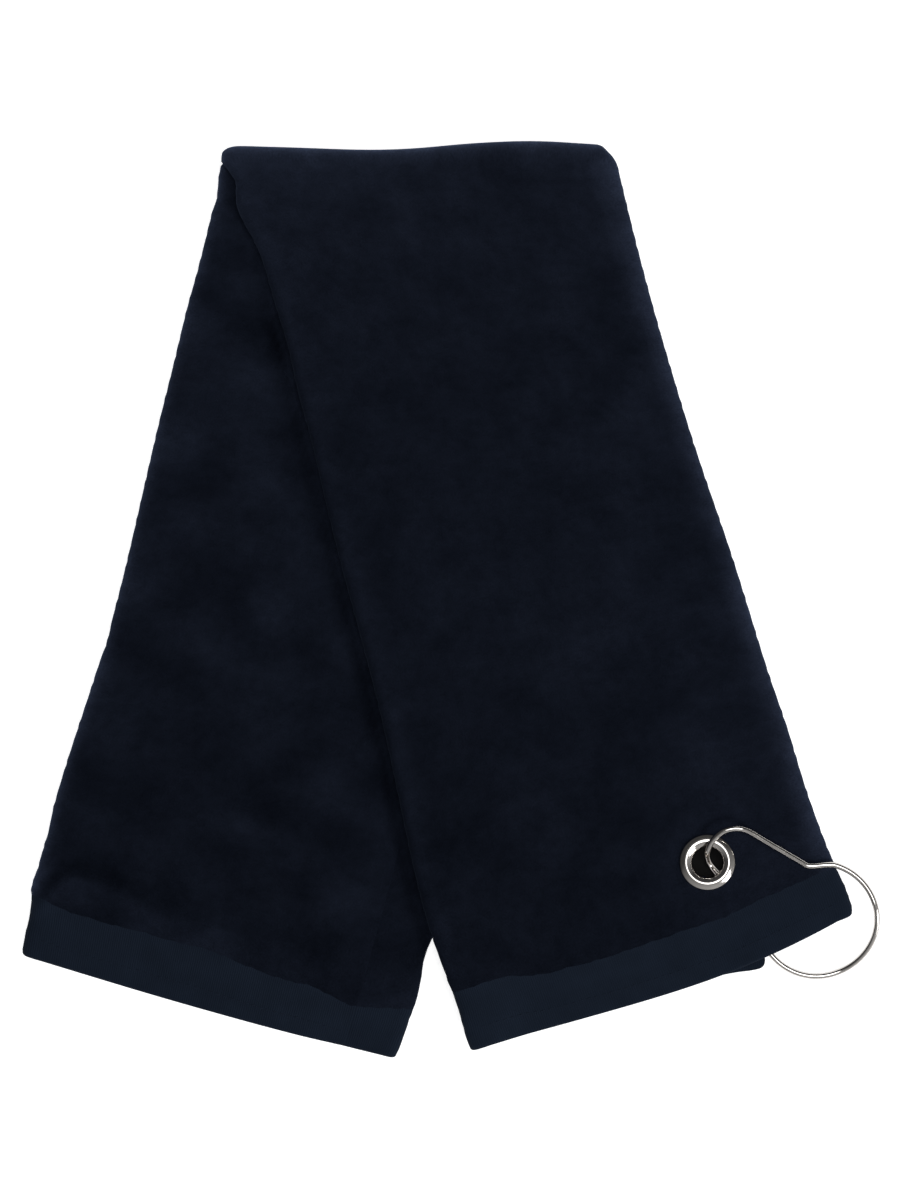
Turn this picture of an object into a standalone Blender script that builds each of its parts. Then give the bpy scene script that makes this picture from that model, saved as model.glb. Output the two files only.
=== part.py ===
"""Tri-fold golf towel, laid flat: two legs from one crosswise fold, a grommet and a wire hook."""

import math

import bmesh
import bpy
from mathutils import Vector

for stale in list(bpy.data.objects):
    bpy.data.objects.remove(stale)

MM = 0.001

# Cloth, in millimetres.
PILE_THICK = 1.9
BAND_THICK = 1.3
LAYER_PITCH = 2.2
LEG_GAP = 0.4
SEAM_GAP = 0.3
LEG_THICK = 2 * LAYER_PITCH + PILE_THICK
FOLD_Z = LEG_THICK + LEG_GAP / 2
FOLD_Y = 152.5
FOLD_LEFT_X = -76.9
FOLD_RIGHT_X = 56.3
WIDE_FOLD_R = LAYER_PITCH
TIGHT_FOLD_R = LAYER_PITCH / 2
INNER_FLAP_START = 0.06
OUTER_FLAP_END = 0.87
ACROSS = (0.0, INNER_FLAP_START, 0.2, 0.34, 0.48, 0.61, 0.74, OUTER_FLAP_END, 1.0)
STATIONS = 13
BAND_STATIONS = 3
BAND_SHARE = 0.069
FOLD_STEPS = 4
ROLL_STEPS = 6

# Hem corners, and how far each edge bows, as one, two, three and four half waves.
FRONT = {
    "left": (9.8, -156.9),
    "right": (139.8, -110.6),
    "left_bow": (3.9, 3.4, 0.5, 1.5),
    "right_bow": (-4.1, -0.3, -1.0, 0.2),
    "hem_bow": (4.4, -0.8),
}
REAR = {
    "left": (-147.0, -125.7),
    "right": (-20.3, -161.0),
    "left_bow": (0.3, 1.1, -1.2, 0.8),
    "right_bow": (1.0, -1.4, 0.6),
    "hem_bow": (1.1,),
}
HEM_BOW_POWER = 6

# How the front leg drapes off the rear leg's right edge.
DROOP_START = 14.0
DROOP_RUN = 30.0
TABLE_GAP = 0.4
WIRE_RISE = 2.5
RISE_START_Y = -10.0
RISE_RUN = 50.0

# Hem stitching.
THREAD_R = 0.3
THREAD_CLEAR = 0.15
STITCH_START = 0.5
STITCH_END = 0.9

# Grommet.
GROMMET_X = 90.1
GROMMET_Y = -91.8
HOLE_R = 5.65
BARREL_R = 6.15
FLANGE_R = 9.7
RECESS_R = 10.1
RECESS_DEPTH = 1.2
CLOTH_HOLE_R = 6.5
GROMMET_STEPS = 40

# Wire hook.
WIRE_R = 1.0
RING_X = 129.0
RING_Y = -112.2
RING_R = 20.3
WIRE_LOW_Z = 1.2
ARM_CLEAR = 0.4
RING_FROM = 76.0
RING_TO = -177.0
RING_FAR = -27.0
CROSSING = 48.0
RING_STEPS = 34
LOOP_X = 99.8
LOOP_Y = -89.4
LOOP_R = 9.8
SHOULDER = ((131.0, -92.55), (128.0, -92.85), (126.0, -92.95))
KINK = (124.5, -92.6)
ARM_RISE = 1.2
ARM_SHARES = (0.07, 0.2, 0.8)
LOOP_FROM = 63
LOOP_OVER = ((80, 1.3), (100, 1.3), (122, 1.3), (150, 0.9))
LOOP_THROUGH = ((172, 3.2, 0.0), (190, -0.9, 0.4))
LOOP_UNDER = ((212, 0.4, 1.0), (240, 0.0, 0.6))
BACK_TIP = (-2.6, 0.4, 0.0)
NECK_STEPS = 4

part_collection = bpy.data.collections.new("tri_fold_golf_towel")
cutter_collection = bpy.data.collections.new("cutters")
for made in (part_collection, cutter_collection):
    bpy.context.scene.collection.children.link(made)


def principled(name, colour, metallic, roughness, sheen):
    """A plain Principled material."""
    material = bpy.data.materials.new(name)
    material.use_nodes = True
    shader = material.node_tree.nodes["Principled BSDF"]
    shader.inputs["Base Color"].default_value = (*colour, 1.0)
    shader.inputs["Metallic"].default_value = metallic
    shader.inputs["Roughness"].default_value = roughness
    shader.inputs["Sheen Weight"].default_value = sheen
    return material


VELOUR = (0.006, 0.008, 0.013)
DOBBY = (0.008, 0.011, 0.018)
THREAD = (0.009, 0.011, 0.019)
NICKEL = (0.75, 0.75, 0.74)


def place(name, mesh, colour, metallic=0.0, roughness=0.9, sheen=0.0):
    """One named object, with a material of its own, in the towel's collection."""
    obj = bpy.data.objects.new(name, mesh)
    part_collection.objects.link(obj)
    mesh.materials.append(principled(name + "_material", colour, metallic, roughness, sheen))
    return obj


def smooth(t):
    """Zero below 0, one above 1, and an even S between."""
    t = min(1.0, max(0.0, t))
    return t * t * (3 - 2 * t)


def bowed(bow, t):
    """How far an edge stands off its chord, t of the way along it."""
    return sum(size * math.sin(math.pi * (k + 1) * t) for k, size in enumerate(bow))


def edge(start, end, bow, v):
    """A point on a leg's long edge, v of the way from the crosswise fold to the hem."""
    across = Vector((start[1] - end[1], end[0] - start[0])).normalized()
    return Vector(start).lerp(Vector(end), v) + across * bowed(bow, v)


def plan(leg, u, v):
    """Where a leg's point (u across, v along) lies on the table, and the way across it."""
    left = edge((FOLD_LEFT_X, FOLD_Y), leg["left"], leg["left_bow"], v)
    right = edge((FOLD_RIGHT_X, FOLD_Y), leg["right"], leg["right_bow"], v)
    across = (right - left).normalized()
    down = Vector((across.y, -across.x))
    bulge = down * bowed(leg["hem_bow"], u) * v**HEM_BOW_POWER
    return left.lerp(right, u) + bulge, across


def drape(x, y):
    """Height of the front leg's underside over the table."""
    top = Vector((FOLD_RIGHT_X + TIGHT_FOLD_R + PILE_THICK / 2, FOLD_Y))
    low = Vector(REAR["right"]) + Vector((TIGHT_FOLD_R + PILE_THICK / 2, 0))
    along = (low - top).normalized()
    beyond = (Vector((x, y)) - top).dot(Vector((-along.y, along.x)))
    floor = TABLE_GAP + WIRE_RISE * smooth((RISE_START_Y - y) / RISE_RUN)
    drop = smooth((beyond - DROOP_START) / DROOP_RUN)
    return (LEG_THICK + LEG_GAP) * (1 - drop) + floor * drop


def arc(u, height, radius, start, end):
    """Middle line of a lengthwise fold: points, each with its outward normal."""
    found = []
    for step in range(1, FOLD_STEPS):
        angle = math.radians(start + (end - start) * step / FOLD_STEPS)
        normal = (math.cos(angle), math.sin(angle))
        found.append((u, radius * normal[0], height + radius * normal[1], normal))
    return found


def section():
    """Middle line of the tri-fold: inner flap, right fold, centre panel, left fold, outer flap."""
    outer_z = PILE_THICK / 2
    inner_z = outer_z + LAYER_PITCH
    centre_z = inner_z + LAYER_PITCH
    line = [(u, 0.0, inner_z, (0.0, -1.0)) for u in ACROSS if u >= INNER_FLAP_START]
    line += arc(1.0, inner_z + TIGHT_FOLD_R, TIGHT_FOLD_R, -90, 90)
    line += [(u, 0.0, centre_z, (0.0, 1.0)) for u in reversed(ACROSS)]
    line += arc(0.0, inner_z, WIDE_FOLD_R, 90, 270)
    line += [(u, 0.0, outer_z, (0.0, -1.0)) for u in ACROSS if u <= OUTER_FLAP_END]
    return line


def sweep(name, stations, place_point, thick):
    """One closed cloth body: the tri-fold section carried through the stations."""
    line = section()
    built = bmesh.new()
    skins = []
    for side in (0.5, -0.5):
        rows = []
        for station in stations:
            row = []
            for u, off, height, normal in line:
                out = off + normal[0] * thick * side
                up = height + normal[1] * thick * side
                row.append(built.verts.new(place_point(station, u, out, up) * MM))
            rows.append(row)
        skins.append(rows)
    outer, inner = skins
    for rows in skins:
        for a, b in zip(rows, rows[1:]):
            for i in range(len(line) - 1):
                built.faces.new((a[i], a[i + 1], b[i + 1], b[i]))
    for a, b in ((outer[0], inner[0]), (outer[-1], inner[-1])):
        for i in range(len(line) - 1):
            built.faces.new((a[i], a[i + 1], b[i + 1], b[i]))
    for k in range(len(stations) - 1):
        for i in (0, -1):
            built.faces.new((outer[k][i], outer[k + 1][i], inner[k + 1][i], inner[k][i]))
    bmesh.ops.recalc_face_normals(built, faces=built.faces)
    mesh = bpy.data.meshes.new(name)
    built.to_mesh(mesh)
    built.free()
    return mesh


def front_point(v, u, out, up):
    spot, across = plan(FRONT, u, v)
    on = spot + across * out
    return Vector((on.x, on.y, up + drape(spot.x, spot.y)))


def rear_point(v, u, out, up):
    spot, across = plan(REAR, u, v)
    on = spot + across * out
    return Vector((on.x, on.y, LEG_THICK - up))


def roll_point(angle, u, out, up):
    """The crosswise fold: the section turned about the fold's axis."""
    reach = up + LEG_GAP / 2
    x = FOLD_LEFT_X + (FOLD_RIGHT_X - FOLD_LEFT_X) * u + out
    return Vector((x, FOLD_Y + reach * math.sin(angle), FOLD_Z - reach * math.cos(angle)))


def spread(start, end, count):
    return [start + (end - start) * i / (count - 1) for i in range(count)]


LEG_LENGTH = FOLD_Y - REAR["right"][1]
GAP_SHARE = SEAM_GAP / LEG_LENGTH
PILE_SPAN = spread(GAP_SHARE, 1 - BAND_SHARE, STATIONS)
BAND_SPAN = spread(1 - BAND_SHARE + GAP_SHARE, 1.0, BAND_STATIONS)
ROLL_SPAN = spread(0.0, math.pi, ROLL_STEPS + 1)

rear_cloth = place(
    "rear_leg_cloth", sweep("rear_leg_cloth", PILE_SPAN, rear_point, PILE_THICK), VELOUR, sheen=0.3
)
front_cloth = place(
    "front_leg_cloth", sweep("front_leg_cloth", PILE_SPAN, front_point, PILE_THICK), VELOUR, sheen=0.3
)
place("rear_hem_band", sweep("rear_hem_band", BAND_SPAN, rear_point, BAND_THICK), DOBBY)
place("front_hem_band", sweep("front_hem_band", BAND_SPAN, front_point, BAND_THICK), DOBBY)
place(
    "crosswise_fold", sweep("crosswise_fold", ROLL_SPAN, roll_point, PILE_THICK), VELOUR, sheen=0.3
)


def tube(name, points, radius, resolution):
    """A round wire or thread along the points, as one closed mesh."""
    curve = bpy.data.curves.new(name + "_path", "CURVE")
    curve.dimensions = "3D"
    curve.bevel_depth = radius * MM
    curve.bevel_resolution = resolution
    curve.use_fill_caps = True
    spline = curve.splines.new("POLY")
    spline.points.add(len(points) - 1)
    for target, point in zip(spline.points, points):
        target.co = (point[0] * MM, point[1] * MM, point[2] * MM, 1.0)
    path = bpy.data.objects.new(name + "_path", curve)
    mesh = bpy.data.meshes.new_from_object(path)
    mesh.name = name
    bpy.data.objects.remove(path)
    built = bmesh.new()
    built.from_mesh(mesh)
    bmesh.ops.remove_doubles(built, verts=built.verts, dist=1e-7)
    bmesh.ops.recalc_face_normals(built, faces=built.faces)
    built.to_mesh(mesh)
    built.free()
    mesh.materials.clear()
    return mesh


def stitching(leg_point, over):
    """A row of thread just over the band's upper face, along the turned hem."""
    row = [leg_point(BAND_SPAN[1], u, 0.0, over) for u in ACROSS if u <= OUTER_FLAP_END]
    row[0] = row[0].lerp(row[1], STITCH_START)
    row[-1] = row[-2].lerp(row[-1], STITCH_END)
    return row


BAND_FACE = PILE_THICK / 2 + BAND_THICK / 2
FRONT_FACE = BAND_FACE + 2 * LAYER_PITCH
REAR_FACE = PILE_THICK / 2 - BAND_THICK / 2
for title, leg_point, over in (
    ("front_hem_stitching", front_point, FRONT_FACE + THREAD_CLEAR + THREAD_R),
    ("rear_hem_stitching", rear_point, REAR_FACE - THREAD_CLEAR - THREAD_R),
):
    place(title, tube(title, stitching(leg_point, over), THREAD_R, 1), THREAD)

GROMMET_BASE = drape(GROMMET_X, GROMMET_Y)
CLOTH_TOP = GROMMET_BASE + LEG_THICK


def cutter(name, radius, low, high):
    """An upright cylinder at the grommet."""
    built = bmesh.new()
    bmesh.ops.create_cone(
        built, cap_ends=True, segments=GROMMET_STEPS,
        radius1=radius * MM, radius2=radius * MM, depth=(high - low) * MM,
    )
    mesh = bpy.data.meshes.new(name)
    built.to_mesh(mesh)
    built.free()
    obj = bpy.data.objects.new(name, mesh)
    obj.location = (GROMMET_X * MM, GROMMET_Y * MM, (low + high) / 2 * MM)
    obj.hide_render = True
    obj.display_type = "WIRE"
    cutter_collection.objects.link(obj)
    return obj


CUT_MARGIN = 3.0
for title, radius, low, high in (
    ("cut_hole", CLOTH_HOLE_R, GROMMET_BASE - CUT_MARGIN, CLOTH_TOP + CUT_MARGIN),
    ("cut_face_recess", RECESS_R, CLOTH_TOP - RECESS_DEPTH, CLOTH_TOP + CUT_MARGIN),
    ("cut_back_recess", RECESS_R, GROMMET_BASE - CUT_MARGIN, GROMMET_BASE + RECESS_DEPTH),
):
    cut = front_cloth.modifiers.new(title, "BOOLEAN")
    cut.operation = "DIFFERENCE"
    cut.solver = "EXACT"
    cut.object = cutter(title, radius, low, high)


def lathe(name, outline):
    """A closed outline of (radius, height) turned about the grommet's axis."""
    built = bmesh.new()
    rings = []
    for step in range(GROMMET_STEPS):
        angle = 2 * math.pi * step / GROMMET_STEPS
        turn = (math.cos(angle), math.sin(angle))
        rings.append(
            [
                built.verts.new(
                    Vector((GROMMET_X + r * turn[0], GROMMET_Y + r * turn[1], z)) * MM
                )
                for r, z in outline
            ]
        )
    for k, ring in enumerate(rings):
        following = rings[(k + 1) % len(rings)]
        for i in range(len(outline)):
            j = (i + 1) % len(outline)
            built.faces.new((ring[i], ring[j], following[j], following[i]))
    bmesh.ops.recalc_face_normals(built, faces=built.faces)
    mesh = bpy.data.meshes.new(name)
    built.to_mesh(mesh)
    built.free()
    return mesh


FLANGE_UNDER = CLOTH_TOP - RECESS_DEPTH + 0.2
FLANGE_EDGE = FLANGE_UNDER + 0.5
FLANGE_TOP = FLANGE_UNDER + 1.5
CROWN_R = 7.3
CROWN_STEPS = 6
WASHER_TOP = GROMMET_BASE + RECESS_DEPTH - 0.2
WASHER_UNDER = WASHER_TOP - 0.8
CURL_R = 7.4
CURL_TOP = WASHER_UNDER - 0.1
CURL_UNDER = GROMMET_BASE - 0.35


def crown():
    """The eyelet's face: up from the hole, over the crown and down to the flange's edge."""
    found = []
    for step in range(CROWN_STEPS + 1):
        angle = math.pi / 2 * step / CROWN_STEPS
        drop = (FLANGE_TOP - FLANGE_EDGE) * (1 - math.sin(angle))
        found.append((CROWN_R - (CROWN_R - HOLE_R) * math.cos(angle), FLANGE_TOP - drop))
    for step in range(1, CROWN_STEPS + 1):
        angle = math.pi / 2 * step / CROWN_STEPS
        drop = (FLANGE_TOP - FLANGE_EDGE) * (1 - math.cos(angle))
        found.append((CROWN_R + (FLANGE_R - CROWN_R) * math.sin(angle), FLANGE_TOP - drop))
    return found


eyelet_outline = [
    (HOLE_R, CURL_UNDER + 0.3),
    *crown(),
    (FLANGE_R, FLANGE_UNDER + 0.15),
    (FLANGE_R - 0.15, FLANGE_UNDER),
    (BARREL_R, FLANGE_UNDER),
    (BARREL_R, CURL_TOP),
    (CURL_R, CURL_TOP),
    (CURL_R, CURL_UNDER + 0.15),
    (CURL_R - 0.4, CURL_UNDER),
    (HOLE_R + 0.3, CURL_UNDER),
]
washer_outline = [
    (BARREL_R + 0.3, WASHER_UNDER),
    (BARREL_R + 0.3, WASHER_TOP),
    (FLANGE_R - 0.2, WASHER_TOP),
    (FLANGE_R, WASHER_TOP - 0.2),
    (FLANGE_R, WASHER_UNDER + 0.2),
    (FLANGE_R - 0.2, WASHER_UNDER),
]
place("grommet_eyelet", lathe("grommet_eyelet", eyelet_outline), NICKEL, 1.0, 0.2)
place("grommet_washer", lathe("grommet_washer", washer_outline), NICKEL, 1.0, 0.25)

WIRE_HIGH_Z = CLOTH_TOP + ARM_CLEAR + WIRE_R


def ring_point(angle):
    """The big ring: over the cloth on one side, under it on the other."""
    under = smooth((RING_FAR + CROSSING - angle) / (2 * CROSSING))
    z = WIRE_HIGH_Z + (WIRE_LOW_Z - WIRE_HIGH_Z) * under
    turn = math.radians(angle)
    return Vector((RING_X + RING_R * math.cos(turn), RING_Y + RING_R * math.sin(turn), z))


def rounded(points, steps):
    """A smooth line through the points, however unevenly they are spaced."""
    found = [points[0]]
    for i in range(len(points) - 1):
        p0 = points[max(i - 1, 0)]
        p1 = points[i]
        p2 = points[i + 1]
        p3 = points[min(i + 2, len(points) - 1)]
        before, length, after = (p1 - p0).length, (p2 - p1).length, (p3 - p2).length
        a = (p2 - p0) * (length / (before + length))
        b = (p3 - p1) * (length / (length + after))
        for step in range(1, steps + 1):
            t = step / steps
            curve = (2 * p1 - 2 * p2 + a + b) * t**3 + (3 * p2 - 3 * p1 - 2 * a - b) * t**2
            found.append(curve + a * t + p1)
    return found


def loop_point(angle, z, inset=0.0):
    """A point of the small loop, inset from its full size."""
    turn = math.radians(angle)
    r = LOOP_R - inset
    return Vector((LOOP_X + r * math.cos(turn), LOOP_Y + r * math.sin(turn), z))


ring = [ring_point(a) for a in spread(RING_FROM, RING_TO, RING_STEPS)]
HOLE_MID_Z = (CLOTH_TOP + GROMMET_BASE) / 2
kink = Vector((*KINK, WIRE_HIGH_Z))
arm_top = loop_point(LOOP_FROM, WIRE_HIGH_Z + ARM_RISE)
neck = rounded(
    [ring[0]]
    + [Vector((x, y, WIRE_HIGH_Z)) for x, y in SHOULDER]
    + [kink]
    + [kink.lerp(arm_top, share) for share in ARM_SHARES]
    + [arm_top]
    + [loop_point(angle, WIRE_HIGH_Z + rise) for angle, rise in LOOP_OVER]
    + [loop_point(angle, HOLE_MID_Z + rise, inset) for angle, rise, inset in LOOP_THROUGH]
    + [loop_point(angle, WIRE_LOW_Z + rise, inset) for angle, rise, inset in LOOP_UNDER],
    NECK_STEPS,
)
back_tip = ring[-1] + Vector(BACK_TIP)
tail = rounded([neck[-1], neck[-1].lerp(back_tip, 0.5), back_tip], 3)[1:]
hook_line = list(reversed(tail)) + list(reversed(neck)) + ring[1:]
place("wire_hook", tube("wire_hook", hook_line, WIRE_R, 3), NICKEL, 1.0, 0.15)
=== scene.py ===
import math

import bpy
import numpy as np
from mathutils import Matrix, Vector


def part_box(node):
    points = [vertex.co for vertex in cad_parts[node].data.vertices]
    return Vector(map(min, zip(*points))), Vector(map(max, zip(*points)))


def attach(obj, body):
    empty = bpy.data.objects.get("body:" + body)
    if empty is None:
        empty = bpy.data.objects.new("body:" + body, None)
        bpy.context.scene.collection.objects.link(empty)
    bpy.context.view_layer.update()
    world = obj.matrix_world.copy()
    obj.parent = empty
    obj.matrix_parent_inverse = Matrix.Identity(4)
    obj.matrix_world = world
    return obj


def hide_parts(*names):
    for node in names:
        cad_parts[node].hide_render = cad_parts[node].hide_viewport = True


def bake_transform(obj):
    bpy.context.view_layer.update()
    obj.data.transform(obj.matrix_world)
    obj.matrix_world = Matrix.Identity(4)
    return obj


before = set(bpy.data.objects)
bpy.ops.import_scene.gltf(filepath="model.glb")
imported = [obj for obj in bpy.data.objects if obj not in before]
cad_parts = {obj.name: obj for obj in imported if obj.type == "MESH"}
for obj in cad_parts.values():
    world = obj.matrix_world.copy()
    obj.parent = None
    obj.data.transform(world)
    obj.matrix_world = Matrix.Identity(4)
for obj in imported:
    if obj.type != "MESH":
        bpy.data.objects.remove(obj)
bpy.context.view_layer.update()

MM = 0.001

# The cloth's plan and section, in millimetres, following the CAD.
PILE = 1.9
BAND = 1.25
HEM = 1.75
PITCH = 2.2
LEG_GAP = 0.4
LEG_THICK = 2 * PITCH + PILE
FOLD_Z = LEG_THICK + LEG_GAP / 2
fold_low, fold_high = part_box("crosswise_fold")
FOLD_Y = fold_low[1] / MM
FOLD_LEFT = fold_low[0] / MM + PITCH + PILE / 2
FOLD_RIGHT = fold_high[0] / MM - PITCH / 2 - PILE / 2
INNER_START = 0.06
OUTER_END = 0.87
BAND_SHARE = 0.069
HEM_BOW_POWER = 6
FRONT = {
    "left": (9.8, -156.9),
    "right": (139.8, -110.6),
    "left_bow": (3.9, 3.4, 0.5, 1.5),
    "right_bow": (-4.1, -0.3, -1.0, 0.2),
    "hem_bow": (4.4, -0.8),
}
REAR = {
    "left": (-147.0, -125.7),
    "right": (-20.3, -161.0),
    "left_bow": (0.3, 1.1, -1.2, 0.8),
    "right_bow": (1.0, -1.4, 0.6),
    "hem_bow": (1.1,),
}
DROOP_START, DROOP_RUN = 14.0, 30.0
TABLE_GAP, WIRE_RISE = 0.4, 2.5
RISE_START_Y, RISE_RUN = -10.0, 50.0


def smooth(t):
    """Zero below 0, one above 1, and an even S between."""
    t = np.clip(t, 0.0, 1.0)
    return t * t * (3 - 2 * t)


def rise(t, start, run, size=1.0):
    """A smooth step of the given size that begins at start."""
    return size * smooth((t - start) / run)


def lump(t, at, width, size):
    """A soft bump of the given size."""
    return size * np.exp(-(((t - at) / width) ** 2))


def lumps(t, parts):
    return sum(lump(t, *part) for part in parts)


WAVE_COUNT = 22
WAVE_SPREAD = (0.65, 1.6)


def waves(x, y, wavelength, seed):
    """A smooth random field of unit strength, made of sine waves near one wavelength."""
    rng = np.random.default_rng(seed)
    total = np.zeros(np.broadcast(x, y).shape)
    for _ in range(WAVE_COUNT):
        turn = rng.uniform(0, math.tau)
        k = math.tau / (wavelength * rng.uniform(*WAVE_SPREAD))
        total += np.sin(k * (x * math.cos(turn) + y * math.sin(turn)) + rng.uniform(0, math.tau))
    return total / math.sqrt(WAVE_COUNT / 2)


def bump(x, y, centre, angle, long, wide):
    """A soft oval of height one, its long axis turned by angle degrees."""
    a = math.radians(angle)
    dx, dy = x - centre[0], y - centre[1]
    p = (dx * math.cos(a) + dy * math.sin(a)) / long
    q = (-dx * math.sin(a) + dy * math.cos(a)) / wide
    return np.exp(-(p * p + q * q) / 2)


def beside(x, y, route):
    """Distance from points to a route, and how far along it they are; left of it is positive."""
    nearest = np.full(np.shape(x), np.inf)
    side, share = np.zeros(np.shape(x)), np.zeros(np.shape(x))
    count = len(route) - 1
    for k in range(count):
        (ax, ay), (bx, by) = route[k], route[k + 1]
        length = math.hypot(bx - ax, by - ay)
        tx, ty = (bx - ax) / length, (by - ay) / length
        along = np.clip((x - ax) * tx + (y - ay) * ty, 0, length)
        across = -(x - ax) * ty + (y - ay) * tx
        far = np.hypot(x - ax - along * tx, y - ay - along * ty)
        closer = far < nearest
        nearest = np.where(closer, far, nearest)
        side = np.where(closer, np.where(across < 0, -far, far), side)
        share = np.where(closer, (k + along / length) / count, share)
    return side, share


def bowed(bow, t):
    """How far an edge stands off its chord, t of the way along it."""
    return sum(size * np.sin(math.pi * (k + 1) * t) for k, size in enumerate(bow))


def edge(start, end, bow, v):
    """Points on a leg's long edge, v of the way from the crosswise fold to the hem."""
    length = math.hypot(end[0] - start[0], end[1] - start[1])
    nx, ny = (start[1] - end[1]) / length, (end[0] - start[0]) / length
    sway = bowed(bow, v)
    return (
        start[0] + (end[0] - start[0]) * v + nx * sway,
        start[1] + (end[1] - start[1]) * v + ny * sway,
    )


def plan(leg, u, v):
    """Where points of a leg lie on the table, and the way across it."""
    lx, ly = edge((FOLD_LEFT, FOLD_Y), leg["left"], leg["left_bow"], v)
    rx, ry = edge((FOLD_RIGHT, FOLD_Y), leg["right"], leg["right_bow"], v)
    width = np.hypot(rx - lx, ry - ly)
    ax, ay = (rx - lx) / width, (ry - ly) / width
    bulge = bowed(leg["hem_bow"], np.clip(u, 0, 1)) * v**HEM_BOW_POWER
    return lx + (rx - lx) * u + ay * bulge, ly + (ry - ly) * u - ax * bulge, ax, ay


def drape(x, y):
    """Height of the front leg's underside over the table."""
    top = np.array([FOLD_RIGHT + PITCH / 2 + PILE / 2, FOLD_Y])
    low = np.array(REAR["right"]) + np.array([PITCH / 2 + PILE / 2, 0])
    along = (low - top) / np.linalg.norm(low - top)
    beyond = (x - top[0]) * -along[1] + (y - top[1]) * along[0]
    floor = TABLE_GAP + WIRE_RISE * smooth((RISE_START_Y - y) / RISE_RUN)
    drop = smooth((beyond - DROOP_START) / DROOP_RUN)
    return (LEG_THICK + LEG_GAP) * (1 - drop) + floor * drop


# Camera: straight over the towel, as in the view.
CAMERA_LENS, CAMERA_HEIGHT = 100, 1.175
camera_data = bpy.data.cameras.new("camera")
camera_data.lens = CAMERA_LENS
camera = bpy.data.objects.new("camera", camera_data)
bpy.context.scene.collection.objects.link(camera)
camera.location = (0.0, 0.0, CAMERA_HEIGHT)
bpy.context.scene.camera = camera

# ---- cloth ----
STRIP = 131.0
STEP = 2.0
EDGE_STEPS = np.array([0.0, 0.1, 0.3, 0.6, 1.0])
EDGE_CLEAR = 1.6


def ends(low, high, radius, start, stop):
    """Even steps from low to high, with finer ones at a rounded end."""
    fine = EDGE_STEPS * radius
    even = np.linspace(low, high, round((high - low) / STEP) + 1)
    if start:
        even = np.concatenate([low + fine, even[even > low + radius * EDGE_CLEAR]])
    if stop:
        even = np.concatenate([even[even < high - radius * EDGE_CLEAR], high - fine[::-1]])
    return even


# The lengthwise folds: how far they reach out, their steps, and the inner face's share there.
WIDE_NOSE, WIDE_STEPS, WIDE_INNER = 5.4, 18, 0.8
TIGHT_NOSE, TIGHT_STEPS, TIGHT_INNER = 3.6, 14, 0.35


def section_line():
    """The tri-fold's middle line, a row per point, and each point's place across the flat sheet.

    A row is: u, offset, height, normal (two numbers), inner face's share, layer.
    """
    outer_z = PILE / 2
    inner_z, centre_z = outer_z + PITCH, outer_z + 2 * PITCH
    left_in, right_in = WIDE_NOSE - PITCH, TIGHT_NOSE - PITCH / 2
    u_in = ends(INNER_START * STRIP, STRIP - right_in, PILE / 2, True, False) / STRIP
    u_mid = ends(left_in, STRIP - right_in, PILE / 2, False, False) / STRIP
    u_out = ends(left_in, OUTER_END * STRIP, PILE / 2, False, True) / STRIP
    rows = [(u, 0.0, inner_z, 0.0, -1.0, 1.0, 1) for u in u_in]

    def nose(u, height, wide, tall, start, stop, count, inner):
        for k in range(1, count):
            a = math.radians(start + (stop - start) * k / count)
            c, s = math.cos(a), math.sin(a)
            size = math.hypot(c / wide, s / tall)
            share = 1.0 + (inner - 1.0) * abs(c) ** 0.5
            nx, nz = c / wide / size, s / tall / size
            rows.append((u, wide * c, height + tall * s, nx, nz, share, 2))

    tight_z = inner_z + PITCH / 2
    nose(u_mid[-1], tight_z, TIGHT_NOSE, PITCH / 2, -90, 90, TIGHT_STEPS, TIGHT_INNER)
    rows += [(u, 0.0, centre_z, 0.0, 1.0, 1.0, 2) for u in u_mid[::-1]]
    nose(u_mid[0], inner_z, WIDE_NOSE, PITCH, 90, 270, WIDE_STEPS, WIDE_INNER)
    rows += [(u, 0.0, outer_z, 0.0, -1.0, 1.0, 3) for u in u_out]
    rows = np.array(rows)
    px, pz = rows[:, 0] * STRIP + rows[:, 1], rows[:, 2]
    flat = np.concatenate([[0], np.cumsum(np.hypot(np.diff(px), np.diff(pz)))])
    return rows, flat


rows, FLAT_ACROSS = section_line()
U, OFF, UP, NX, NZ, INNER, LAYER = rows.T
FROM_END = FLAT_ACROSS[-1] - FLAT_ACROSS
ACROSS = np.clip(U, 0, 1)
SPAN_X = U * STRIP + OFF + NX * PILE / 2
FROM_LEFT, FROM_RIGHT = SPAN_X - SPAN_X.min(), SPAN_X.max() - SPAN_X
EDGE_BLUNT = 0.93


def edge_round(distance, radius):
    """Share of the full thickness near a cut edge, a quarter round."""
    t = np.clip(1 - distance / radius, 0, 1)
    return np.sqrt(np.clip(1 - t * t * EDGE_BLUNT, 0, 1))


REAR_SPAN = 300.0
ROLL_ARC = 10.0
ROLL_STEPS = 14
leg_stations = np.sort(1 - ends(0, REAR_SPAN, HEM / 2, True, False) / REAR_SPAN)
roll_stations = np.linspace(0, math.pi, ROLL_STEPS + 1)[1:-1]
stations = [("rear", v) for v in leg_stations[::-1]]
stations += [("roll", a) for a in roll_stations]
stations += [("front", v) for v in leg_stations]

BAND_EDGE = 1 - BAND_SHARE
HEM_EDGE = 1 - BAND_SHARE * 0.5
BAND_LEAD, BAND_RUN, HEM_RUN = 0.002, 0.006, 0.005


def thickness(v):
    """Pile, then the thinner border, then the turned hem, along a leg."""
    pile = PILE + (BAND - PILE) * smooth((v - BAND_EDGE + BAND_LEAD) / BAND_RUN)
    return pile + (HEM - BAND) * smooth((v - HEM_EDGE) / HEM_RUN)


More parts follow.
